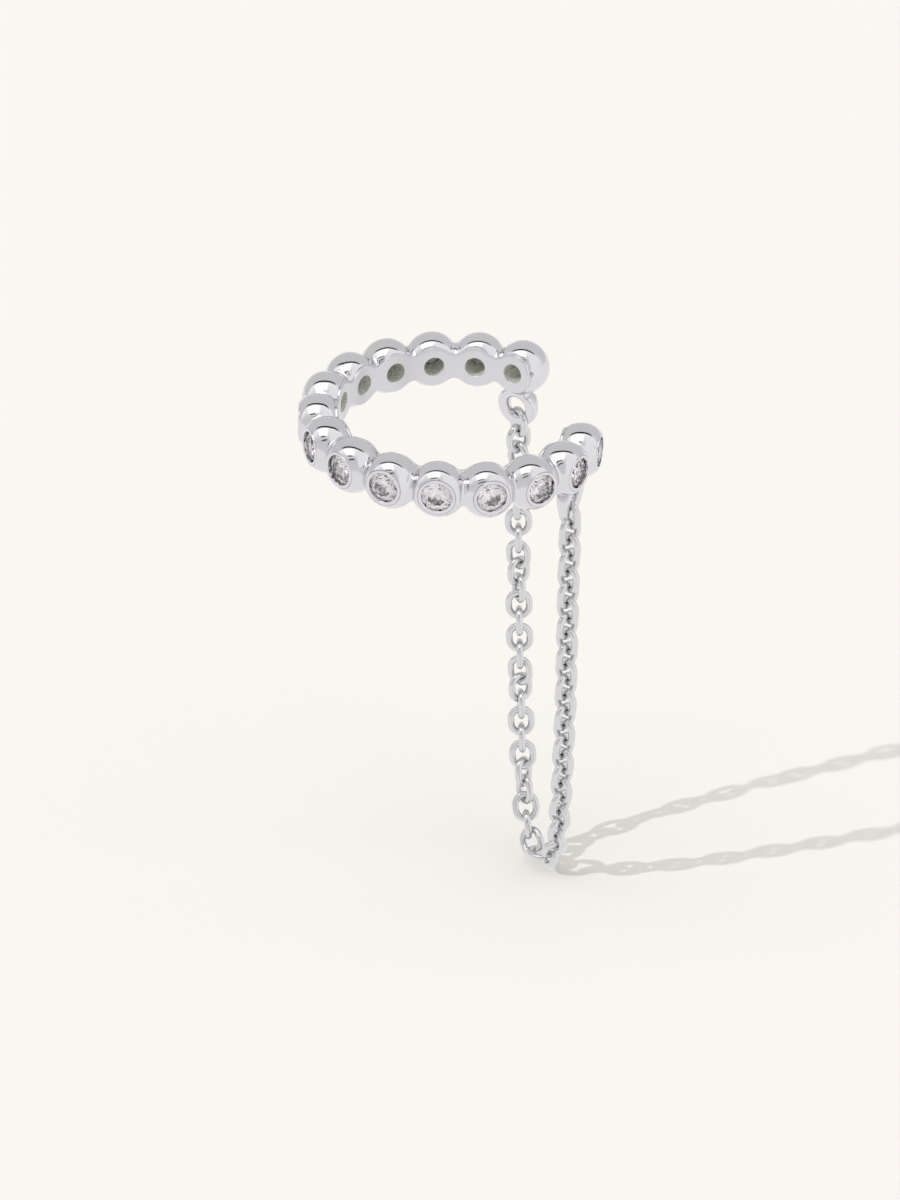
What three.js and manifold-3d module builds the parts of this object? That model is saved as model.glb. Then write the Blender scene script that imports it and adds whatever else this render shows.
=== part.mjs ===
// Ear cuff: an open ring of stone-set beads with a fine chain hanging from its two eyelets.
// Millimetres, +Z up. The origin is the middle of the ring's bore, where the edge of the ear sits.
import * as THREE from 'three';
import { mergeVertices } from 'three/addons/utils/BufferGeometryUtils.js';
import { ConvexGeometry } from 'three/addons/geometries/ConvexGeometry.js';
import Module from 'manifold-3d';

const wasm = await Module();
wasm.setup();

// Driving dimensions of the ring
const boreDiameter = 10.6;
const settingDepth = 1.8;
const settingCount = 15;
const settingPitch = 2.233;
const mouthAzimuth = THREE.MathUtils.degToRad(22.45);
const endRise = 0.93;
const ringTilt = THREE.MathUtils.degToRad(1.73);

// Driving dimensions of one setting
const settingDiameter = 2.51;
const innerFaceDiameter = 1.96;
const rimWidth = 0.145;
const ribbonEdge = 0.26;
const backHoleDiameter = 0.95;

// Driving dimensions of the core between the settings
const coreHeight = 1.56;
const coreDepth = 1.15;

// Driving dimensions of a stone and of the room round it
const stoneDiameter = 1.5;
const tableShare = 0.57;
const crownShare = 0.15;
const girdleShare = 0.03;
const pavilionShare = 0.43;
const seatClearance = 0.03;
const lipCover = 0.035;

// Driving dimensions of the eyelets: places are counted in settings from the back end of the ring,
// and an eyelet sinks into the level of the beads' undersides
const eyeletDiameter = 2.06;
const eyeletWireWidth = 0.44;
const eyeletWireThickness = 0.52;
const backEyelet = { place: 0.07, sink: 0.23 };
const frontEyelet = { place: 13.36, sink: 0.4 };

// Driving dimensions of the chain, and its route from under the back eyelet to under the front one
const chainWidth = 1.33;
const chainSides = 8;
const chainSteps = 80;
const chainRoute = [
  [3.2, 5.22, -3.05],
  [3.21, 5.0, -7.1],
  [3.24, 4.74, -11.0],
  [3.3, 4.46, -14.1],
  [3.35, 4.18, -16.5],
  [3.4, 3.9, -18.4],
  [3.47, 3.6, -19.9],
  [3.55, 3.2, -21.3],
  [3.65, 2.7, -22.5],
  [3.8, 2.15, -23.3],
  [4.05, 1.62, -23.75],
  [4.4, 1.12, -23.85],
  [4.74, 0.62, -23.6],
  [4.96, 0.12, -23.0],
  [5.08, -0.4, -22.0],
  [5.18, -0.85, -20.7],
  [5.26, -1.25, -19.0],
  [5.33, -1.6, -16.7],
  [5.41, -1.95, -13.6],
  [5.45, -2.26, -10.0],
  [5.48, -2.48, -7.0],
  [5.52, -2.66, -3.82],
];

// Fineness of the round forms
const settingSegments = 16;
const coreSteps = 28;
const eyeletSegments = 16;

// What follows from the driving dimensions
const ringRadius = boreDiameter / 2 + settingDepth / 2;
const settingStep = 2 * Math.asin(settingPitch / 2 / ringRadius);
const lastPlace = settingCount - 1;
const stoneRadius = stoneDiameter / 2;
const lipRadius = stoneRadius - lipCover;
const rimRadius = lipRadius + rimWidth;
const tableLevel = settingDepth / 2;
const girdleTop = tableLevel - crownShare * stoneDiameter;
const girdleBottom = girdleTop - girdleShare * stoneDiameter;
const culetLevel = girdleBottom - pavilionShare * stoneDiameter;

const silver = new THREE.MeshStandardMaterial({ color: '#d9d7d8', metalness: 1, roughness: 0.12 });
const clearStone = new THREE.MeshStandardMaterial({ color: '#eef0f6', metalness: 0, roughness: 0.02 });

// A point of the ring's middle line: place 0 is the back end and lastPlace the front end
function ringAzimuth(place) {
  return mouthAzimuth + Math.PI + (place - lastPlace / 2) * settingStep;
}

function ringPoint(place) {
  const azimuth = ringAzimuth(place);
  const rise = endRise * (0.5 - place / lastPlace);
  return new THREE.Vector3(ringRadius * Math.cos(azimuth), ringRadius * Math.sin(azimuth), rise);
}

// A turned form has its axis along Y: this lays the axis along the ring's radius at a place, outwards
function atPlace(place, drop = 0) {
  const azimuth = ringAzimuth(place);
  const outwards = new THREE.Vector3(Math.cos(azimuth), Math.sin(azimuth), 0);
  const up = new THREE.Vector3(0, 0, 1);
  const along = new THREE.Vector3().crossVectors(outwards, up);
  const matrix = new THREE.Matrix4().makeBasis(along, outwards, up);
  const centre = ringPoint(place);
  return matrix.setPosition(centre.x, centre.y, centre.z - drop);
}

// Solids for joining and cutting
function toSolid(geometry) {
  const bare = geometry.clone();
  for (const name of Object.keys(bare.attributes)) {
    if (name !== 'position') bare.deleteAttribute(name);
  }
  const merged = mergeVertices(bare, 1e-5);
  return new wasm.Manifold(new wasm.Mesh({
    numProp: 3,
    vertProperties: new Float32Array(merged.attributes.position.array),
    triVerts: new Uint32Array(merged.index.array),
  }));
}

function toGeometry(solid) {
  const mesh = solid.getMesh();
  const geometry = new THREE.BufferGeometry();
  geometry.setAttribute('position', new THREE.BufferAttribute(new Float32Array(mesh.vertProperties), 3));
  geometry.setIndex(new THREE.BufferAttribute(new Uint32Array(mesh.triVerts), 1));
  geometry.computeVertexNormals();
  return geometry;
}

function turned(profile, segments) {
  const points = profile.map(([radius, level]) => new THREE.Vector2(radius, level));
  return new THREE.LatheGeometry(points, segments);
}

// The bead of one setting, turned about the ring's radius: a flat inner face with a rounded edge, a
// shallow crease behind it, the full bead, and a flat rim round the stone
function settingBead() {
  const inner = -settingDepth / 2;
  const outer = settingDepth / 2;
  const full = settingDiameter / 2;
  const face = innerFaceDiameter / 2;
  const bulge = full - rimRadius;
  const profile = [
    [0, inner],
    [face - 0.3 * ribbonEdge, inner],
    [face + 0.1 * ribbonEdge, inner + 0.5 * ribbonEdge],
    [face, inner + ribbonEdge],
    [full - 0.25 * bulge, inner + 1.7 * ribbonEdge],
    [full, 0.05 * outer],
    [full - 0.2 * bulge, 0.6 * outer],
    [rimRadius + 0.2 * bulge, 0.94 * outer],
    [rimRadius, outer],
    [0, outer],
  ];
  return turned(profile, settingSegments);
}

// The cut through one setting: back hole, sloping seat, room for the girdle, and the lip over it
function settingCut() {
  const through = settingDepth;
  const hole = backHoleDiameter / 2;
  const room = stoneRadius + seatClearance;
  const slope = (girdleBottom - culetLevel) / stoneRadius;
  const seatDrop = 1.6 * seatClearance;
  const seatTop = girdleBottom - seatDrop + slope * seatClearance;
  const profile = [
    [0, -through],
    [hole, -through],
    [hole, seatTop - slope * (room - hole)],
    [room, seatTop],
    [room, girdleTop + seatClearance],
    [lipRadius, girdleTop + seatClearance + 2 * lipCover],
    [lipRadius, through],
    [0, through],
  ];
  return turned(profile, settingSegments);
}

// The core that joins the settings: flat on the bore side, rounded outwards
class RingLine extends THREE.Curve {
  getPoint(share, target = new THREE.Vector3()) {
    return target.copy(ringPoint(share * lastPlace));
  }
}

function bandCore() {
  const inner = settingDepth / 2;
  const halfHeight = coreHeight / 2;
  const edge = 0.12 * halfHeight;
  const roundDepth = 0.65 * coreDepth;
  const shoulder = inner - coreDepth + roundDepth;
  const section = new THREE.Shape();
  section.moveTo(-halfHeight + edge, inner);
  section.lineTo(halfHeight - edge, inner);
  section.lineTo(halfHeight, inner - edge);
  section.lineTo(halfHeight, shoulder);
  section.absellipse(0, shoulder, halfHeight, roundDepth, 0, Math.PI, true);
  section.lineTo(-halfHeight, inner - edge);
  section.closePath();
  return new THREE.ExtrudeGeometry(section, {
    steps: coreSteps,
    curveSegments: 4,
    extrudePath: new RingLine(),
  });
}

// A cast eyelet: a ring of flat-sided wire whose hole faces along the ring's radius
function eyelet() {
  const middle = (eyeletDiameter - eyeletWireWidth) / 2;
  const halfWidth = eyeletWireWidth / 2;
  const halfThickness = eyeletWireThickness / 2;
  const flat = 0.55;
  const section = [
    [1, -flat], [1, flat], [flat, 1], [-flat, 1],
    [-1, flat], [-1, -flat], [-flat, -1], [flat, -1], [1, -flat],
  ];
  return turned(
    section.map(([across, along]) => [middle + halfWidth * across, halfThickness * along]),
    eyeletSegments,
  );
}

function cuffBand() {
  let band = toSolid(bandCore());
  for (let place = 0; place < settingCount; place += 1) {
    band = band.add(toSolid(settingBead().applyMatrix4(atPlace(place))));
  }
  for (const { place, sink } of [backEyelet, frontEyelet]) {
    const drop = (settingDiameter + eyeletDiameter) / 2 - sink;
    band = band.add(toSolid(eyelet().applyMatrix4(atPlace(place, drop))));
  }
  for (let place = 0; place < settingCount; place += 1) {
    band = band.subtract(toSolid(settingCut().applyMatrix4(atPlace(place))));
  }
  return toGeometry(band);
}

// A round brilliant: an eight-sided table, a sixteen-sided girdle and a pointed pavilion, axis along Y
function brilliant() {
  const points = [new THREE.Vector3(0, culetLevel, 0)];
  const ring = (radius, level, count, start) => {
    for (let i = 0; i < count; i += 1) {
      const angle = start + (2 * Math.PI * i) / count;
      points.push(new THREE.Vector3(radius * Math.cos(angle), level, radius * Math.sin(angle)));
    }
  };
  ring(stoneRadius * tableShare, tableLevel, 8, Math.PI / 8);
  ring(stoneRadius, girdleTop, 16, 0);
  ring(stoneRadius, girdleBottom, 16, 0);
  return new ConvexGeometry(points);
}

// The chain as one closed tube of its links' outer width
function chainTube() {
  const route = new THREE.CatmullRomCurve3(chainRoute.map((point) => new THREE.Vector3(...point)));
  const section = new THREE.Shape();
  for (let i = 0; i < chainSides; i += 1) {
    const angle = (2 * Math.PI * i) / chainSides;
    const x = (chainWidth / 2) * Math.cos(angle);
    const y = (chainWidth / 2) * Math.sin(angle);
    if (i === 0) section.moveTo(x, y);
    else section.lineTo(x, y);
  }
  section.closePath();
  return new THREE.ExtrudeGeometry(section, { steps: chainSteps, extrudePath: route });
}

function named(name, geometry, material) {
  const mesh = new THREE.Mesh(geometry, material);
  mesh.name = name;
  return mesh;
}

const ring = new THREE.Group();
ring.rotation.y = ringTilt;
ring.add(named('cuff_band', cuffBand(), silver));
for (let place = 0; place < settingCount; place += 1) {
  const stone = named(`stone_${String(place + 1).padStart(2, '0')}`, brilliant(), clearStone);
  stone.applyMatrix4(atPlace(place));
  ring.add(stone);
}

const earCuff = new THREE.Group();
earCuff.add(ring);
earCuff.add(named('chain', chainTube(), silver));

export default earCuff;
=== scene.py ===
import math

import bmesh
import bpy
from mathutils import Matrix, Vector


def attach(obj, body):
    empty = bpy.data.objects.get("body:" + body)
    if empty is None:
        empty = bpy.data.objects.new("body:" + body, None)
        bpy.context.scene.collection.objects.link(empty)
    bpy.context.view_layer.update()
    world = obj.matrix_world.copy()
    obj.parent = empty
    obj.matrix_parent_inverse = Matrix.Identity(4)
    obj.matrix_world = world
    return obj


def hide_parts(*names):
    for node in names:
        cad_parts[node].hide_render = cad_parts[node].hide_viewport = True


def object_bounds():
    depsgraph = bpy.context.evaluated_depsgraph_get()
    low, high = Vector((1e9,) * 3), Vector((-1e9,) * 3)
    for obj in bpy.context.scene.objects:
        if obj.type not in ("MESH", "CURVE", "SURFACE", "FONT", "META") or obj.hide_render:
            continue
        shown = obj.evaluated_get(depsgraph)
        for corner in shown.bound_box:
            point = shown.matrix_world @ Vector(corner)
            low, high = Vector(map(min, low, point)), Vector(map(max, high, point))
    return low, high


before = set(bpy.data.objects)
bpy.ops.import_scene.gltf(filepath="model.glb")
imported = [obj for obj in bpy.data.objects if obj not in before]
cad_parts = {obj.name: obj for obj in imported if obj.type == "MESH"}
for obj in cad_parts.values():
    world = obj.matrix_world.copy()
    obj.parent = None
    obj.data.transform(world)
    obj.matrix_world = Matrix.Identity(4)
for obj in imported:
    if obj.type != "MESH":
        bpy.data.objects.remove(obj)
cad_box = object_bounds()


# Camera: a long lens that looks down at the cuff from in front, at the photograph's viewing angle.
# The ring's middle lies a little right of the picture's middle and well above it, in its pixels.
millimetre = 0.001
picture_height = 1200
pixel_size = 0.0465 * millimetre
focal_length_pixels = 7000
look_down = math.radians(28.384)
ring_right_of_middle = 1.05
ring_above_middle = 175.8
sensor_size = 36

camera_data = bpy.data.cameras.new("long_lens")
camera_data.sensor_width = sensor_size
camera_data.lens = focal_length_pixels * sensor_size / picture_height
camera_data.clip_start = 0.01
camera_data.clip_end = 20
camera = bpy.data.objects.new("camera", camera_data)
bpy.context.scene.collection.objects.link(camera)
camera_turn = Matrix.Rotation(math.pi / 2 - look_down, 4, "X")
camera_place = camera_turn @ Vector((
    -ring_right_of_middle * pixel_size,
    -ring_above_middle * pixel_size,
    focal_length_pixels * pixel_size,
))
camera.matrix_world = Matrix.Translation(camera_place) @ camera_turn
bpy.context.scene.camera = camera


# Floor: smooth matt paper in warm white, just under the chain's lowest link, wide enough to fill every
# view. The metal doesn't mirror it: in the photograph the cuff mirrors only the grey light tent round it.
paper_colour = "#EAE7E1"
paper_below_cuff = 0.15 * millimetre
paper_half_width = 4.0


def add_node(tree, kind, settings=(), links=()):
    """Adds a node, sets its properties and sockets by name, and links its sockets from (node, output)."""
    node = tree.nodes.new(kind)
    for name, value in dict(settings).items():
        if isinstance(name, int) or name in node.inputs:
            node.inputs[name].default_value = value
        else:
            setattr(node, name, value)
    for name, (source, output) in dict(links).items():
        tree.links.new(source.outputs[output], node.inputs[name])
    return node


def linear(hex_colour):
    """Turns an sRGB hex colour to a linear one with full alpha."""
    parts = [int(hex_colour[i:i + 2], 16) / 255 for i in (1, 3, 5)]
    return tuple(c / 12.92 if c <= 0.04045 else ((c + 0.055) / 1.055) ** 2.4 for c in parts) + (1.0,)


def new_material(name):
    """An empty node material and its output node."""
    material = bpy.data.materials.new(name)
    material.use_nodes = True
    material.node_tree.nodes.clear()
    return material, add_node(material.node_tree, "ShaderNodeOutputMaterial")


def object_from(name, shape):
    """Makes an object at the origin from a bmesh in millimetres, and frees the bmesh."""
    bmesh.ops.scale(shape, vec=(millimetre,) * 3, verts=shape.verts)
    mesh = bpy.data.meshes.new(name)
    shape.to_mesh(mesh)
    shape.free()
    made = bpy.data.objects.new(name, mesh)
    bpy.context.scene.collection.objects.link(made)
    return made


paper, paper_output = new_material("matt_paper")
paper_shader = add_node(paper.node_tree, "ShaderNodeBsdfPrincipled", {
    "Base Color": linear(paper_colour), "Roughness": 0.9, "Specular IOR Level": 0.0,
})
paper.node_tree.links.new(paper_shader.outputs["BSDF"], paper_output.inputs["Surface"])

floor_shape = bmesh.new()
bmesh.ops.create_grid(floor_shape, x_segments=2, y_segments=2, size=paper_half_width / millimetre)
floor_level = (cad_box[0].z - paper_below_cuff) / millimetre
bmesh.ops.translate(floor_shape, vec=(0, 0, floor_level), verts=floor_shape.verts)
floor = object_from("floor", floor_shape)
floor.data.materials.append(paper)
floor.visible_glossy = False
floor.visible_transmission = False


# Light: the light tent round the cuff. It is pale below, grey behind, and lit overhead by a softbox whose
# brightness fades towards the front. A bright lamp and three black edges hang under it, and a pale
# window stands on the right. The tent stands still in the world, whatever the view.
world = bpy.data.worlds.new("light_tent")
bpy.context.scene.world = world
world.use_nodes = True
tent = world.node_tree
tent.nodes.clear()
direction = add_node(tent, "ShaderNodeTexCoord")
parts = add_node(tent, "ShaderNodeSeparateXYZ", links={0: (direction, "Generated")})

# Brightness by the angle from the horizon in front (-Y), over the top (90) to the horizon behind (180)
brightest = 2.0
tent_tones = [
    (-180, 0.97), (-6, 0.97), (5, 0.78), (40, 0.74), (60, 0.86), (80, 1.08), (98, 1.18),
    (103, 0.73), (172, 0.72), (180, 0.85),
]
towards_front = add_node(tent, "ShaderNodeMath", {"operation": "MULTIPLY", 1: -1.0}, {0: (parts, "Y")})
angle = add_node(tent, "ShaderNodeMath", {"operation": "ARCTAN2"}, {
    0: (parts, "Z"), 1: (towards_front, 0),
})
turn_share = add_node(tent, "ShaderNodeMath", {
    "operation": "MULTIPLY_ADD", 1: 0.5 / math.pi, 2: 0.5,
}, {0: (angle, 0)})
ramp = add_node(tent, "ShaderNodeValToRGB", links={0: (turn_share, 0)})
while len(ramp.color_ramp.elements) < len(tent_tones):
    ramp.color_ramp.elements.new(0.5)
for element, (degrees, tone) in zip(ramp.color_ramp.elements, tent_tones):
    element.position = degrees / 360 + 0.5
    element.color = (tone / brightest,) * 3 + (1.0,)

# Panels and cards one unit away on the ceiling or the right wall: middle, half size, slant in degrees,
# tone, and how soft the edge is as a share of the half size
nearly_sideways = 0.02
ceiling = (0.0, 0.0, 0.0)
right_wall = (0.0, math.pi / 2, 0.0)
cards = [
    ("side_window", right_wall, (-1.3, -1.25), (1.8, 1.3), 0, 1.03, 0.35),
    ("back_edge", ceiling, (0.0, 0.24), (0.85, 0.08), -4, 0.02, 0.25),
    ("lamp", ceiling, (-0.33, -0.22), (0.38, 0.26), 0, 2.0, 0.35),
    ("lamp_edge", ceiling, (-0.38, -0.63), (0.27, 0.06), 6, 0.04, 0.3),
    ("front_edge", ceiling, (-0.35, -1.06), (0.42, 0.1), 16, 0.05, 0.3),
]
tone_so_far = (ramp, "Color")
for name, facing, middle, half_size, slant, tone, softness in cards:
    faced = add_node(tent, "ShaderNodeMapping", {"vector_type": "TEXTURE", "Rotation": facing}, {
        "Vector": (direction, "Generated"),
    })
    ahead = add_node(tent, "ShaderNodeSeparateXYZ", links={0: (faced, 0)})
    distance = add_node(tent, "ShaderNodeMath", {"operation": "MAXIMUM", 1: nearly_sideways}, {
        0: (ahead, "Z"),
    })
    on_wall = add_node(tent, "ShaderNodeVectorMath", {"operation": "DIVIDE"}, {
        0: (faced, 0), 1: (distance, 0),
    })
    placed = add_node(tent, "ShaderNodeMapping", {
        "vector_type": "TEXTURE", "Location": middle + (1.0,),
        "Rotation": (0.0, 0.0, math.radians(slant)), "Scale": half_size + (0.5,),
    }, {"Vector": (on_wall, 0)})
    from_middle = add_node(tent, "ShaderNodeVectorMath", {"operation": "ABSOLUTE"}, {0: (placed, 0)})
    sides = add_node(tent, "ShaderNodeSeparateXYZ", links={0: (from_middle, 0)})
    wider = add_node(tent, "ShaderNodeMath", {"operation": "MAXIMUM"}, {0: (sides, "X"), 1: (sides, "Y")})
    furthest = add_node(tent, "ShaderNodeMath", {"operation": "MAXIMUM"}, {0: (wider, 0), 1: (sides, "Z")})
    on_card = add_node(tent, "ShaderNodeMapRange", {
        "From Min": 1 + softness, "From Max": 1 - softness,
    }, {"Value": (furthest, 0)})
    mixed = add_node(tent, "ShaderNodeMix", {
        "label": name, "data_type": "RGBA", 7: (tone / brightest,) * 3 + (1.0,),
    }, {0: (on_card, 0), 6: tone_so_far})
    tone_so_far = (mixed, 2)
tent_light = add_node(tent, "ShaderNodeBackground", {"Strength": brightest}, {"Color": tone_so_far})
add_node(tent, "ShaderNodeOutputWorld", links={"Surface": (tent_light, "Background")})

# A small sun from the left and behind the camera draws the shadows to the right, and isn't mirrored
sun_data = bpy.data.lights.new("sun", "SUN")
sun_data.energy = 1.5
sun_data.angle = math.radians(1.0)
sun = bpy.data.objects.new("sun", sun_data)
bpy.context.scene.collection.objects.link(sun)
shadow_way = Vector((10.0, 4.2, -7.3))
sun.rotation_euler = shadow_way.to_track_quat("-Z", "Y").to_euler()
sun.visible_glossy = False
sun.visible_transmission = False

bpy.context.scene.view_settings.view_transform = "Standard"


# Band: one casting in sterling silver, polished and plated with rhodium. Fifteen round settings stand
# on a smooth ribbon that lies round the bore, and they run into each other in smooth necks.
# Levels count outwards along the ring's radius from the middle of the band's depth, in millimetres.
bore_radius = 5.3
setting_depth = 1.8
ring_radius = bore_radius + setting_depth / 2
setting_count = 15
last_place = setting_count - 1
setting_pitch = 2.233
setting_step = 2 * math.asin(setting_pitch / 2 / ring_radius)
mouth_azimuth = math.radians(22.45)
end_rise = 0.93
ring_tilt = math.radians(1.73)

outer_level = setting_depth / 2
inner_level = -setting_depth / 2
bead_radius = 1.29
bead_fullness = 2.3
stone_radius = 0.75
lip_radius = 0.715
rim_radius = 0.86
girdle_room = 0.78
girdle_top = 0.675
seat_top = 0.608
seat_foot = 0.346
back_hole_radius = 0.475
rim_groove = 0.06
ribbon_thickness = 0.13
ribbon_radius = 0.98
ribbon_neck = 0.61
crease_level = inner_level + ribbon_thickness
neck_height = 0.62
neck_level = -0.25
neck_front = 0.3
neck_back = 0.65
neck_fillet = 0.2
bead_fillet = 0.24
ribbon_fillet = 0.2
crease_ledge = 0.02
spin_steps = 128


def reach_through(radius, level):
    """The depth of a bead's oval that makes it pass through this radius at this level."""
    return abs(level) / (1 - (radius / bead_radius) ** bead_fullness) ** (1 / bead_fullness)


bead_front = reach_through(rim_radius, outer_level)
bead_back = reach_through(ribbon_radius + crease_ledge, crease_level)


def oval_gap(across, across_reach, along, along_reach):
    """Distance outside an oval of that fullness, measured on the line from its middle."""
    size = (abs(across) / across_reach) ** bead_fullness + (abs(along) / along_reach) ** bead_fullness
    return math.hypot(across, along) * (1 - size ** (-1 / bead_fullness))


def blended(one, other, fillet):
    """The nearer of two distances, with a fillet where they are alike."""
    overlap = max(fillet - abs(one - other), 0) / fillet
    return min(one, other) - overlap * overlap * fillet / 4


def bead_gap(x, level, z):
    """Distance outside one bead, an oval whose front half is deeper than its back half."""
    return oval_gap(math.hypot(x, z), bead_radius, level, bead_front if level > 0 else bead_back)


def body_gap(x, level, z, free_end):
    """Distance outside a bead with its necks and the next bead: x runs along the ring, z upwards."""
    bead = bead_gap(x, level, z)
    if free_end and x > 0:
        return bead
    radius = math.hypot(x, ring_radius + level)
    turn = math.atan2(abs(x), ring_radius + level) - setting_step
    next_bead = bead_gap(radius * math.sin(turn), radius * math.cos(turn) - ring_radius, z)
    depth = radius - ring_radius - neck_level
    neck = oval_gap(z, neck_height, depth, neck_front if depth > 0 else neck_back)
    return blended(blended(bead, next_bead, bead_fillet), neck, neck_fillet)


def ribbon_gap(along, z, free_end):
    """Distance outside the ribbon's outline, which swells to a disc behind each stone."""
    disc = math.hypot(along, z) - ribbon_radius
    if free_end and along > 0:
        return disc
    to_next = abs(along) - setting_step * (ring_radius + crease_level)
    next_disc = math.hypot(to_next, z) - ribbon_radius
    return blended(blended(disc, next_disc, ribbon_fillet), abs(z) - ribbon_neck, ribbon_fillet)


# The section of a setting, from the back hole's foot over seat, lip, rim, bead and ribbon, back to the
# hole. Each ring of the turned form has a radius, a level and a kind: round as it is turned, bent with
# the bore, or moved onto the bead's body, the ribbon's edge or the ribbon's face.
edge = 0.018
rim_edge = 0.008
rim_drop = 0.01
groove_slope = 0.006
girdle_play = 0.03
lip_foot = girdle_top + 0.1
face_inset = 0.04
rings = [
    (back_hole_radius + edge, inner_level, "bent"),
    (back_hole_radius, inner_level + edge, "bent"),
    (back_hole_radius, seat_foot, "round"),
    (girdle_room, seat_top, "round"),
    (girdle_room, girdle_top + girdle_play, "round"),
    (lip_radius, lip_foot, "round"),
    (lip_radius, outer_level - edge, "round"),
    (lip_radius + edge, outer_level, "round"),
    ((lip_radius + rim_radius) / 2, outer_level, "round"),
    (rim_radius - rim_edge, outer_level, "round"),
    (rim_radius, outer_level - rim_drop, "round"),
    (rim_radius + groove_slope, outer_level - rim_groove, "round"),
]
first_hole_ring = 1
last_hole_ring = 2

# The dome's rings lie where lines that climb from the setting's axis at these angles meet the bead, and
# the rings behind them at their own levels
dome_start = -0.05
climbs = [45.6, 44, 42, 39.5, 37, 34.5, 32, 29.5, 27, 25, 23, 21, 19, 17, 15, 13, 10.5, 8, 5, 2.5]
for climb in climbs:
    rings.append((math.cos(math.radians(climb)), dome_start + math.sin(math.radians(climb)), "body"))
for level in [-0.05, -0.13, -0.21, -0.29, -0.37, -0.45, -0.53, -0.6, -0.66, -0.71, -0.75]:
    rings.append((1.0, level, "body"))
ribbon_edge = [
    (0.0, -0.02), (0.01, -0.006), (0.022, 0.0), (0.06, 0.002), (0.09, 0.0), (0.11, -0.008),
    (0.124, -0.022), (0.13, -0.04),
]
for drop, stand_out in ribbon_edge:
    rings.append((ribbon_radius + stand_out, crease_level - drop, "ribbon"))
for share in [0.8, 0.55, 0.3, 0.12]:
    face_radius = back_hole_radius + share * (ribbon_radius - face_inset - back_hole_radius)
    rings.append((face_radius, inner_level, "face"))


inside_distance = 0.6
march_step = 0.03
halvings = 16


def march(gap_at, far_enough):
    """The distance at which gap_at turns from inside to outside, or where far_enough says to stop."""
    distance = inside_distance
    while gap_at(distance) < 0:
        distance += march_step
        if far_enough(distance):
            return distance
    low, high = distance - march_step, distance
    for _ in range(halvings):
        middle = (low + high) / 2
        if gap_at(middle) < 0:
            low = middle
        else:
            high = middle
    return (low + high) / 2


# The forms go on a little past the joint, so that the cut there goes through whole faces
past_joint = setting_step / 2 + 0.07
cut_tolerance = 1e-5
joint_tolerance = 1e-4


def ribbon_point(angle, level, stand_out, free_end, share=1.0):
    """A point of the ribbon at that height round the setting's axis, on the bore's own curve."""
    outline_radius = ring_radius + crease_level
    distance = march(
        lambda d: ribbon_gap(d * math.cos(angle), d * math.sin(angle), free_end) - stand_out,
        lambda d: abs(d * math.cos(angle)) > past_joint * outline_radius,
    )
    distance = back_hole_radius + share * (distance - back_hole_radius)
    turn = distance * math.cos(angle) / outline_radius
    radius = ring_radius + level
    return Vector((radius * math.sin(turn), radius * math.cos(turn), distance * math.sin(angle)))


def body_point(angle, base_level, free_end):
    """A point of the bead's body: it is sought along a line from the axis that climbs to the dome.

    The lines lie on the ring's own curve at the foot of the dome and straighten towards the rim.
    """
    start = min(base_level, dome_start)
    climb = math.asin(base_level - start)

    def at(distance):
        flat = distance * math.cos(climb)
        x, z = flat * math.cos(angle), flat * math.sin(angle)
        radius = ring_radius + start
        sag = radius - math.sqrt(radius * radius - x * x)
        straight = climb / math.radians(climbs[0])
        return x, start + distance * math.sin(climb) - sag * (1 - straight), z

    def beyond(distance):
        x, level, _ = at(distance)
        return math.atan2(abs(x), ring_radius + level) > past_joint

    distance = march(lambda d: body_gap(*at(d), free_end), beyond)
    x, level, z = at(distance)
    return Vector((x, ring_radius + level, z))


def setting(free_end):
    """One setting with its share of the ribbon and necks, cut off halfway to its neighbours."""
    shape = bmesh.new()
    ring_layer = shape.verts.layers.int.new("ring")
    section = [shape.verts.new((radius, ring_radius + level, 0)) for radius, level, _ in rings]
    for index, vert in enumerate(section):
        vert[ring_layer] = index
        shape.edges.new((vert, section[(index + 1) % len(section)]))
    bmesh.ops.spin(
        shape, geom=list(shape.verts) + list(shape.edges), cent=(0, ring_radius, 0), axis=(0, 1, 0),
        angle=2 * math.pi, steps=spin_steps, use_merge=True,
    )
    for face in shape.faces:
        in_hole = all(first_hole_ring <= vert[ring_layer] <= last_hole_ring for vert in face.verts)
        face.material_index = 1 if in_hole else 0
    for vert in shape.verts:
        base_radius, base_level, form = rings[vert[ring_layer]]
        angle = math.atan2(vert.co.z, vert.co.x)
        if form == "bent":
            radius = ring_radius + base_level
            vert.co.y = math.sqrt(radius * radius - vert.co.x ** 2)
        elif form == "body":
            vert.co = body_point(angle, base_level, free_end)
        elif form == "ribbon":
            vert.co = ribbon_point(angle, base_level, base_radius - ribbon_radius, free_end)
        elif form == "face":
            share = (base_radius - back_hole_radius) / (ribbon_radius - face_inset - back_hole_radius)
            vert.co = ribbon_point(angle, base_level, -face_inset, free_end, share)
    for side in (-1, 1):
        if free_end and side > 0:
            continue
        bmesh.ops.bisect_plane(
            shape, geom=list(shape.verts) + list(shape.edges) + list(shape.faces),
            dist=cut_tolerance, plane_co=(0, 0, 0),
            plane_no=(side * math.cos(setting_step / 2), -math.sin(setting_step / 2), 0),
            clear_outer=True,
        )
    return shape


def ring_azimuth(place):
    """The direction of a place on the ring: place 0 is the back end and last_place the front end."""
    return mouth_azimuth + math.pi + (place - last_place / 2) * setting_step


def ring_rise(place):
    """The height of a place on the ring, whose ends stand apart like a spring's."""
    return end_rise * (0.5 - place / last_place)


middle_setting = setting(False)
first_setting = setting(True)
last_setting = first_setting.copy()
bmesh.ops.scale(last_setting, vec=(-1, 1, 1), verts=last_setting.verts)
bmesh.ops.reverse_faces(last_setting, faces=last_setting.faces)

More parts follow.
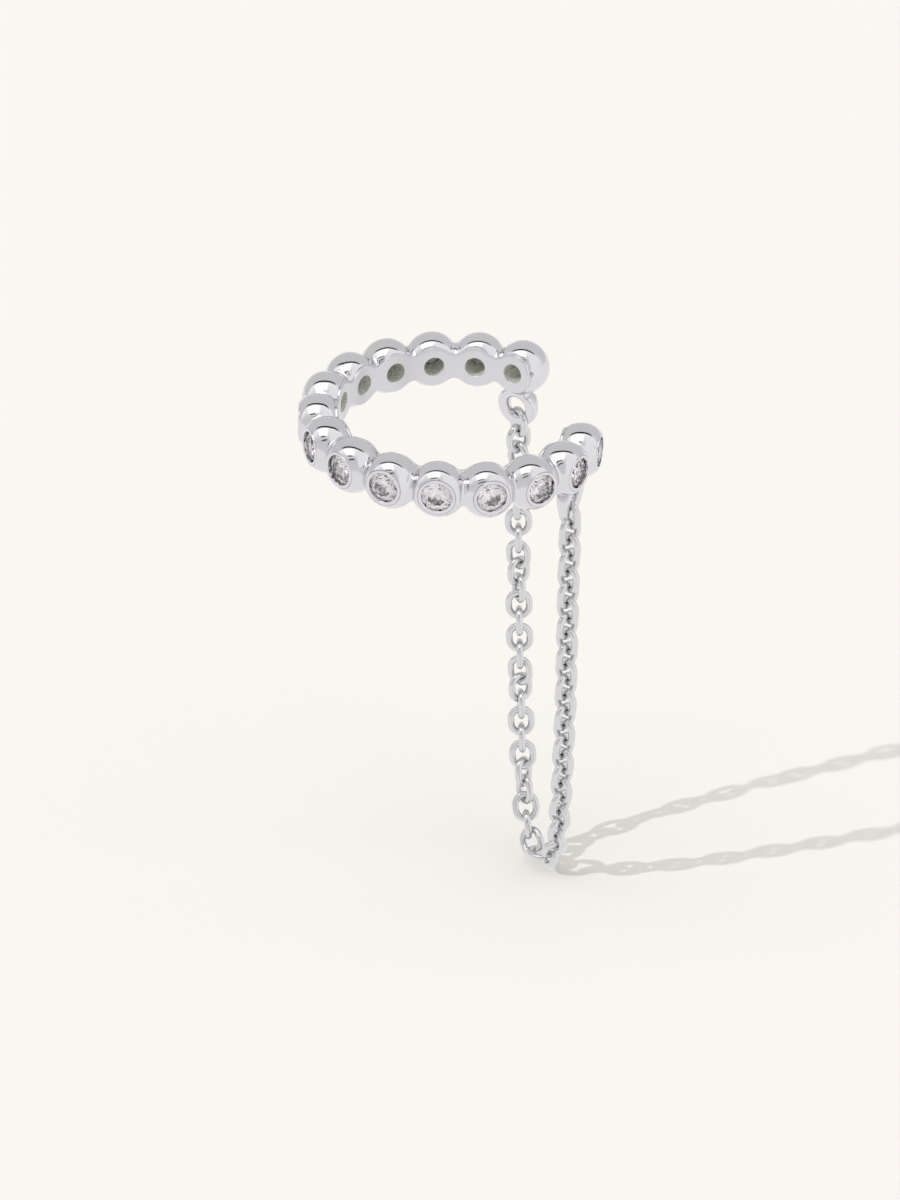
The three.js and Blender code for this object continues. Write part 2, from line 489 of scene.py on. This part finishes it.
band_shape = bmesh.new()
for place in range(setting_count):
    pattern = {0: first_setting, last_place: last_setting}.get(place, middle_setting)
    copy = pattern.copy()
    for vert in copy.verts:
        vert.co.z += ring_rise(place - math.atan2(vert.co.x, vert.co.y) / setting_step)
    bmesh.ops.rotate(
        copy, cent=(0, 0, 0), verts=copy.verts,
        matrix=Matrix.Rotation(ring_azimuth(place) - math.pi / 2, 3, "Z"),
    )
    setting_mesh = bpy.data.meshes.new("setting")
    copy.to_mesh(setting_mesh)
    copy.free()
    band_shape.from_mesh(setting_mesh)
    bpy.data.meshes.remove(setting_mesh)
for pattern in (middle_setting, first_setting, last_setting):
    pattern.free()
bmesh.ops.remove_doubles(band_shape, verts=band_shape.verts, dist=joint_tolerance)
bmesh.ops.recalc_face_normals(band_shape, faces=band_shape.faces)


joint_zone = 0.16
joint_passes = 4
joint_depth = ribbon_thickness + 0.05


def near_joint(vert):
    """Whether a point of the band's body lies close to a joint of two settings, along the ring."""
    radius = math.hypot(vert.co.x, vert.co.y)
    azimuth = math.atan2(vert.co.y, vert.co.x) % (2 * math.pi)
    place = (azimuth - ring_azimuth(0)) / setting_step % (2 * math.pi / setting_step)
    along_ring = abs(place % 1 - 0.5) * setting_step * radius
    return place < last_place and along_ring < joint_zone and radius - bore_radius > joint_depth


# The joints are smoothed a little, as polishing leaves them
for _ in range(joint_passes):
    near_joints = [v for v in band_shape.verts if near_joint(v)]
    bmesh.ops.smooth_vert(
        band_shape, verts=near_joints, factor=0.5, use_axis_x=True, use_axis_y=True, use_axis_z=True,
    )
bmesh.ops.rotate(
    band_shape, cent=(0, 0, 0), matrix=Matrix.Rotation(ring_tilt, 3, "Y"), verts=band_shape.verts,
)
for face in band_shape.faces:
    face.smooth = True
band = object_from("cuff_casting", band_shape)

# Rhodium over polished silver: a near mirror. Casting and hand polishing leave it faintly wavy, and the
# last wheel leaves marks of about a tenth of a millimetre that blur it a little here and there. The
# bore, which the wheel doesn't reach as well, stays satin.
plate, plate_output = new_material("polished_rhodium_plate")
wave_length = 0.9 * millimetre
wave_depth = 9e-6
mark_length = 0.12 * millimetre
satin_within = (bore_radius + 0.03) * millimetre
satin_roughness = 0.25
where = add_node(plate.node_tree, "ShaderNodeTexCoord")
waves = add_node(plate.node_tree, "ShaderNodeTexNoise", {
    "Scale": 1 / wave_length, "Detail": 1.0, "Roughness": 0.4,
}, {"Vector": (where, "Object")})
wavy = add_node(plate.node_tree, "ShaderNodeBump", {"Strength": 1.0, "Distance": wave_depth}, {
    "Height": (waves, 0),
})
marks = add_node(plate.node_tree, "ShaderNodeTexNoise", {
    "Scale": 1 / mark_length, "Detail": 3.0,
}, {"Vector": (where, "Object")})
polish = add_node(plate.node_tree, "ShaderNodeMapRange", {
    "From Min": 0.35, "From Max": 0.75, "To Min": 0.03, "To Max": 0.10,
}, {"Value": (marks, 0)})
level_with_ring = add_node(plate.node_tree, "ShaderNodeMapping", {
    "Rotation": (0.0, -ring_tilt, 0.0), "Scale": (1.0, 1.0, 0.0),
}, {"Vector": (where, "Object")})
from_axis = add_node(plate.node_tree, "ShaderNodeVectorMath", {"operation": "LENGTH"}, {
    0: (level_with_ring, 0),
})
in_bore = add_node(plate.node_tree, "ShaderNodeMath", {"operation": "LESS_THAN", 1: satin_within}, {
    0: (from_axis, "Value"),
})
satin = add_node(plate.node_tree, "ShaderNodeMath", {"operation": "MULTIPLY_ADD", 1: satin_roughness}, {
    0: (in_bore, 0), 2: (polish, 0),
})
plate_shader = add_node(plate.node_tree, "ShaderNodeBsdfPrincipled", {
    "Base Color": linear("#DDDBDE"), "Metallic": 1.0,
}, {"Normal": (wavy, 0), "Roughness": (satin, 0)})
plate.node_tree.links.new(plate_shader.outputs["BSDF"], plate_output.inputs["Surface"])
band.data.materials.append(plate)

# The walls of the back holes keep the dull skin of the casting, an olive grey with a fine grain. Little
# light comes in there, so they look much darker than their colours.
skin, skin_output = new_material("dull_casting_skin")
grain_size = 0.06 * millimetre
grain_depth = 4e-6
where = add_node(skin.node_tree, "ShaderNodeTexCoord")
grain = add_node(skin.node_tree, "ShaderNodeTexNoise", {"Scale": 1 / grain_size, "Detail": 2.0}, {
    "Vector": (where, "Object"),
})
grainy = add_node(skin.node_tree, "ShaderNodeBump", {"Strength": 1.0, "Distance": grain_depth}, {
    "Height": (grain, 0),
})
patches = add_node(skin.node_tree, "ShaderNodeMapRange", {"From Min": 0.42, "From Max": 0.6}, {
    "Value": (grain, 0),
})
skin_tones = add_node(skin.node_tree, "ShaderNodeMix", {
    "data_type": "RGBA", 6: linear("#BFC0B5"), 7: linear("#FFFFFA"),
}, {0: (patches, 0)})
skin_shader = add_node(skin.node_tree, "ShaderNodeBsdfPrincipled", {
    "Metallic": 0.2, "Roughness": 0.4,
}, {"Base Color": (skin_tones, 2), "Normal": (grainy, 0)})
skin.node_tree.links.new(skin_shader.outputs["BSDF"], skin_output.inputs["Surface"])
band.data.materials.append(skin)


# Eyelets: two flat-sided rings cast under the ends of the band, for the chain. Their wire is thinnest at
# the bottom and flares where it runs into the underside of the beads. They join the band's one solid.
eyelet_radius = 1.03
eyelet_wire_width = 0.56
eyelet_wire_thickness = 0.52
eyelet_squareness = 3.0
eyelet_sides = 24
eyelet_steps = 96
thin_share = 0.74
flare_share = 1.5
flare_power = 2.2
# Each eyelet's place on the ring, and how far its middle hangs below the ring's line
eyelets = [(0.07, 2.055), (13.36, 1.885)]


def carried(shape, place, drop=0):
    """Carries a form that was made on the first radius (+Y) to its place on the tilted ring."""
    bmesh.ops.translate(shape, vec=(0, 0, ring_rise(place) - drop), verts=shape.verts)
    for turn, axis in ((ring_azimuth(place) - math.pi / 2, "Z"), (ring_tilt, "Y")):
        bmesh.ops.rotate(shape, cent=(0, 0, 0), matrix=Matrix.Rotation(turn, 3, axis), verts=shape.verts)


def eyelet(place, drop):
    """One eyelet of flat-sided wire, turned about the ring's radius and widened upwards."""
    shape = bmesh.new()
    bmesh.ops.create_circle(shape, segments=eyelet_sides, radius=1)
    for vert in shape.verts:
        squared = [math.copysign(abs(part) ** (2 / eyelet_squareness), part) for part in vert.co.xy]
        across = squared[0] * eyelet_wire_width / 2
        along = squared[1] * eyelet_wire_thickness / 2
        vert.co = (eyelet_radius - eyelet_wire_width / 2 + across, ring_radius + along, 0)
    bmesh.ops.spin(
        shape, geom=list(shape.verts) + list(shape.edges), cent=(0, ring_radius, 0), axis=(0, 1, 0),
        angle=2 * math.pi, steps=eyelet_steps, use_merge=True,
    )
    for vert in shape.verts:
        up = max(vert.co.z / eyelet_radius + 1, 0) / 2
        widening = thin_share + flare_share * up ** flare_power
        vert.co.y = ring_radius + (vert.co.y - ring_radius) * widening
    bmesh.ops.recalc_face_normals(shape, faces=shape.faces)
    for face in shape.faces:
        face.smooth = True
    carried(shape, place, drop)
    return object_from("eyelet", shape)


def apply_modifiers(piece):
    """Replaces a piece's mesh by what its modifiers make of it."""
    view = bpy.context.evaluated_depsgraph_get()
    finished = bpy.data.meshes.new_from_object(piece.evaluated_get(view))
    piece.modifiers.clear()
    piece.data = finished


for place, drop in eyelets:
    ring_piece = eyelet(place, drop)
    union = band.modifiers.new("eyelet", "BOOLEAN")
    union.operation = "UNION"
    union.solver = "EXACT"
    union.object = ring_piece
    apply_modifiers(band)
    bpy.data.objects.remove(ring_piece)

# Where an eyelet runs into its bead, the metal is smoothed into a soft root
root_reach = 0.8
root_below_top = 0.28
root_passes = 12
sharp_angle = math.radians(32)
for place, drop in eyelets:
    azimuth = ring_azimuth(place)
    root = Vector((ring_radius * math.cos(azimuth), ring_radius * math.sin(azimuth), 0))
    root.z = ring_rise(place) - drop + eyelet_radius - root_below_top
    root = Matrix.Rotation(ring_tilt, 3, "Y") @ root
    shape = bmesh.new()
    shape.from_mesh(band.data)
    near_root = [v for v in shape.verts if (v.co / millimetre - root).length < root_reach]
    for _ in range(root_passes):
        bmesh.ops.smooth_vert(
            shape, verts=near_root, factor=0.5, use_axis_x=True, use_axis_y=True, use_axis_z=True,
        )
    shape.to_mesh(band.data)
    shape.free()
band.data.set_sharp_from_angle(angle=sharp_angle)
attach(band, "root")
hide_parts("cuff_band")


# Stones: fifteen round brilliants of cubic zirconia, 1.5 mm across, each held in its seat by the lip.
# Each is cut from a round blank facet by facet, with a silvered back, and sits turned by its own angle.
stone_table = 0.9
girdle_bottom = 0.63
culet = -0.015
girdle_flat = 0.981 * stone_radius
star_radius = 0.395
blank_sides = 64
corner_tolerance = 2e-4
silvered_up_to = 0.1
# Each kind of facet: how many, the first one's angle, its lean, and a radius and level that it passes
facets = [
    ("crown main", 8, 0.0, 34.9, stone_radius, girdle_top),
    ("star", 8, 22.5, 21.5, star_radius, stone_table),
    ("upper girdle", 16, 11.25, 41.5, girdle_flat, girdle_top),
    ("pavilion main", 8, 0.0, 180 - 40.75, 0.0, culet),
    ("lower girdle", 16, 11.25, 180 - 42.2, girdle_flat, girdle_bottom),
]
turn_between_stones = 137.5

gem = bmesh.new()
bmesh.ops.create_cone(
    gem, cap_ends=True, segments=blank_sides, radius1=stone_radius, radius2=stone_radius,
    depth=stone_table - culet,
)
bmesh.ops.translate(gem, vec=(0, 0, (stone_table + culet) / 2), verts=gem.verts)
for _, count, first_angle, lean, radius, level in facets:
    for index in range(count):
        around = math.radians(first_angle + index * 360 / count)
        outwards = Vector((math.cos(around), math.sin(around), 0))
        normal = outwards * math.sin(math.radians(lean)) + Vector((0, 0, math.cos(math.radians(lean))))
        bmesh.ops.bisect_plane(
            gem, geom=list(gem.verts) + list(gem.edges) + list(gem.faces), dist=cut_tolerance,
            plane_co=outwards * radius + Vector((0, 0, level)), plane_no=normal, clear_outer=True,
        )
        bmesh.ops.contextual_create(gem, geom=[e for e in gem.edges if e.is_boundary])
bmesh.ops.remove_doubles(gem, verts=gem.verts, dist=corner_tolerance)
bmesh.ops.recalc_face_normals(gem, faces=gem.faces)
for face in gem.faces:
    face.material_index = 1 if face.normal.z < silvered_up_to else 0

# Cubic zirconia: clear, with a high index that makes it glitter. Its fire is painted: faint rose and
# violet tints painted into its colour in patches.
# The index is chosen somewhat under the real 2.15.
zirconia, zirconia_output = new_material("cubic_zirconia")
painted_fire_size = 0.3 * millimetre
where = add_node(zirconia.node_tree, "ShaderNodeTexCoord")
# Painted fire: noise that spreads faint rose and violet tints through the stone's colour, in place of
# light split by the stone
painted_fire = add_node(zirconia.node_tree, "ShaderNodeTexNoise", {"Scale": 1 / painted_fire_size, "Detail": 0.0}, {
    "Vector": (where, "Object"),
})
painted_fire_tints = add_node(zirconia.node_tree, "ShaderNodeMix", {
    "data_type": "RGBA", 6: linear("#FFFAFB"), 7: linear("#FBFAFF"),
}, {0: (painted_fire, 0)})
zirconia_shader = add_node(zirconia.node_tree, "ShaderNodeBsdfPrincipled", {
    "Roughness": 0.0, "IOR": 1.9, "Transmission Weight": 1.0,
}, {"Base Color": (painted_fire_tints, 2)})
zirconia.node_tree.links.new(zirconia_shader.outputs["BSDF"], zirconia_output.inputs["Surface"])

# The silvered backs and girdles of the stones: a bright, faintly crinkled mirror that shuts out what
# lies behind
foil, foil_output = new_material("silvered_foil")
crinkle_size = 0.08 * millimetre
crinkle_depth = 1.5e-6
where = add_node(foil.node_tree, "ShaderNodeTexCoord")
crinkles = add_node(foil.node_tree, "ShaderNodeTexNoise", {"Scale": 1 / crinkle_size, "Detail": 1.0}, {
    "Vector": (where, "Object"),
})
crinkled = add_node(foil.node_tree, "ShaderNodeBump", {"Strength": 1.0, "Distance": crinkle_depth}, {
    "Height": (crinkles, 0),
})
foil_shader = add_node(foil.node_tree, "ShaderNodeBsdfPrincipled", {
    "Base Color": linear("#FCFBFB"), "Metallic": 1.0, "Roughness": 0.1,
}, {"Normal": (crinkled, 0)})
foil.node_tree.links.new(foil_shader.outputs["BSDF"], foil_output.inputs["Surface"])

for place in range(setting_count):
    shape = gem.copy()
    bmesh.ops.rotate(
        shape, cent=(0, 0, 0), verts=shape.verts,
        matrix=Matrix.Rotation(-math.pi / 2, 3, "X")
        @ Matrix.Rotation(math.radians(turn_between_stones * place), 3, "Z"),
    )
    bmesh.ops.translate(shape, vec=(0, ring_radius, 0), verts=shape.verts)
    carried(shape, place)
    stone = object_from(f"brilliant_{place + 1:02d}", shape)
    stone.data.materials.append(zirconia)
    stone.data.materials.append(foil)
    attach(stone, "root")
    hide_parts(f"stone_{place + 1:02d}")
gem.free()


# Chain: a fine cable chain of 52 soldered links of round silver wire. Its first and last links hang in
# the eyelets. Each link stands across the one before, and the strands are twisted as they have settled.
link_count = 52
link_wire = 0.34
link_bend_radius = 0.495
link_half_straight = 0.105
wire_sides = 16
link_steps = 40
middle_line = 1e-3
chain_route = [
    (3.22, 5.26, -2.1),
    (3.2, 5.22, -3.05), (3.21, 5.0, -7.1), (3.24, 4.74, -11.0), (3.3, 4.46, -14.1), (3.35, 4.18, -16.5),
    (3.4, 3.9, -18.4), (3.47, 3.6, -19.9), (3.55, 3.2, -21.3), (3.65, 2.7, -22.5), (3.8, 2.15, -23.3),
    (4.05, 1.62, -23.75), (4.4, 1.12, -23.85), (4.74, 0.62, -23.6), (4.96, 0.12, -23.0),
    (5.08, -0.4, -22.0), (5.18, -0.85, -20.7), (5.26, -1.25, -19.0), (5.33, -1.6, -16.7),
    (5.41, -1.95, -13.6), (5.45, -2.26, -10.0), (5.48, -2.48, -7.0), (5.52, -2.66, -3.82),
    (5.48, -2.7, -2.9),
]
# How far the strand has twisted by some of its links, in degrees
twists = [
    (0, 60), (1, 57), (6, 0), (7, 0), (8, 30), (11, 90), (14, 90), (17, 175), (18, 180), (20, 180),
    (23, 270), (24, 270), (26, 350), (30, 405), (51, 405),
]

route_data = bpy.data.curves.new("chain_route", "CURVE")
route_data.dimensions = "3D"
spline = route_data.splines.new("BEZIER")
spline.bezier_points.add(len(chain_route) - 1)
for knot, point in zip(spline.bezier_points, chain_route):
    knot.co = point
    knot.handle_left_type = knot.handle_right_type = "AUTO"
spline.resolution_u = 24
route_piece = bpy.data.objects.new("chain_route", route_data)
bpy.context.scene.collection.objects.link(route_piece)
bpy.context.view_layer.update()
route_mesh = route_piece.to_mesh()
route = [vert.co.copy() for vert in route_mesh.vertices]
route_piece.to_mesh_clear()
bpy.data.objects.remove(route_piece)

walked = [0.0]
for start, stop in zip(route, route[1:]):
    walked.append(walked[-1] + (stop - start).length)


def route_point(distance):
    """The point at this distance along the chain's route, and the way that the route goes there."""
    index = next(i for i in range(1, len(walked)) if walked[i] >= distance or i == len(walked) - 1)
    start, stop = route[index - 1], route[index]
    share = (distance - walked[index - 1]) / (walked[index] - walked[index - 1])
    return start.lerp(stop, share), (stop - start).normalized()


def twist_at(index):
    """The strand's twist at a link, between the listed ones."""
    for (first, before), (last, after) in zip(twists, twists[1:]):
        if index <= last:
            return math.radians(before + (after - before) * (index - first) / (last - first))


link_shape = bmesh.new()
bmesh.ops.create_circle(link_shape, segments=wire_sides, radius=link_wire / 2)
bmesh.ops.rotate(
    link_shape, cent=(0, 0, 0), matrix=Matrix.Rotation(math.pi / 2, 3, "X"), verts=link_shape.verts,
)
bmesh.ops.translate(link_shape, vec=(link_bend_radius, 0, 0), verts=link_shape.verts)
bmesh.ops.spin(
    link_shape, geom=list(link_shape.verts) + list(link_shape.edges), cent=(0, 0, 0), axis=(0, 0, 1),
    angle=2 * math.pi, steps=link_steps, use_merge=True,
)
for vert in link_shape.verts:
    if abs(vert.co.y) > middle_line:
        vert.co.y += math.copysign(link_half_straight, vert.co.y)
bmesh.ops.recalc_face_normals(link_shape, faces=link_shape.faces)
link_mesh = bpy.data.meshes.new("link")
link_shape.to_mesh(link_mesh)
link_shape.free()

chain_shape = bmesh.new()
for index in range(link_count):
    middle, way = route_point((index + 0.5) * walked[-1] / link_count)
    level = (Vector((1, 0, 0)) - way * way.x).normalized()
    across = Matrix.Rotation(index * math.pi / 2 + twist_at(index), 3, way) @ level
    turn = Matrix((across, way, across.cross(way))).transposed().to_4x4()
    already = len(chain_shape.verts)
    chain_shape.from_mesh(link_mesh)
    chain_shape.verts.ensure_lookup_table()
    bmesh.ops.transform(
        chain_shape, matrix=Matrix.Translation(middle) @ turn, verts=chain_shape.verts[already:],
    )
bpy.data.meshes.remove(link_mesh)
for face in chain_shape.faces:
    face.smooth = True
chain = object_from("cable_chain", chain_shape)

# Drawn and soldered silver wire, tumbled bright: a softer mirror than the band, with fine tumbling marks
wire, wire_output = new_material("tumbled_silver_wire")
tumble_size = 0.1 * millimetre
tumble_depth = 1.2e-6
where = add_node(wire.node_tree, "ShaderNodeTexCoord")
tumbled = add_node(wire.node_tree, "ShaderNodeTexNoise", {"Scale": 1 / tumble_size, "Detail": 2.0}, {
    "Vector": (where, "Object"),
})
dimpled = add_node(wire.node_tree, "ShaderNodeBump", {"Strength": 1.0, "Distance": tumble_depth}, {
    "Height": (tumbled, 0),
})
wire_polish = add_node(wire.node_tree, "ShaderNodeMapRange", {
    "From Min": 0.35, "From Max": 0.75, "To Min": 0.04, "To Max": 0.12,
}, {"Value": (tumbled, 0)})
wire_shader = add_node(wire.node_tree, "ShaderNodeBsdfPrincipled", {
    "Base Color": linear("#D9D8D9"), "Metallic": 1.0,
}, {"Normal": (dimpled, 0), "Roughness": (wire_polish, 0)})
wire.node_tree.links.new(wire_shader.outputs["BSDF"], wire_output.inputs["Surface"])
chain.data.materials.append(wire)
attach(chain, "root")
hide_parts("chain")
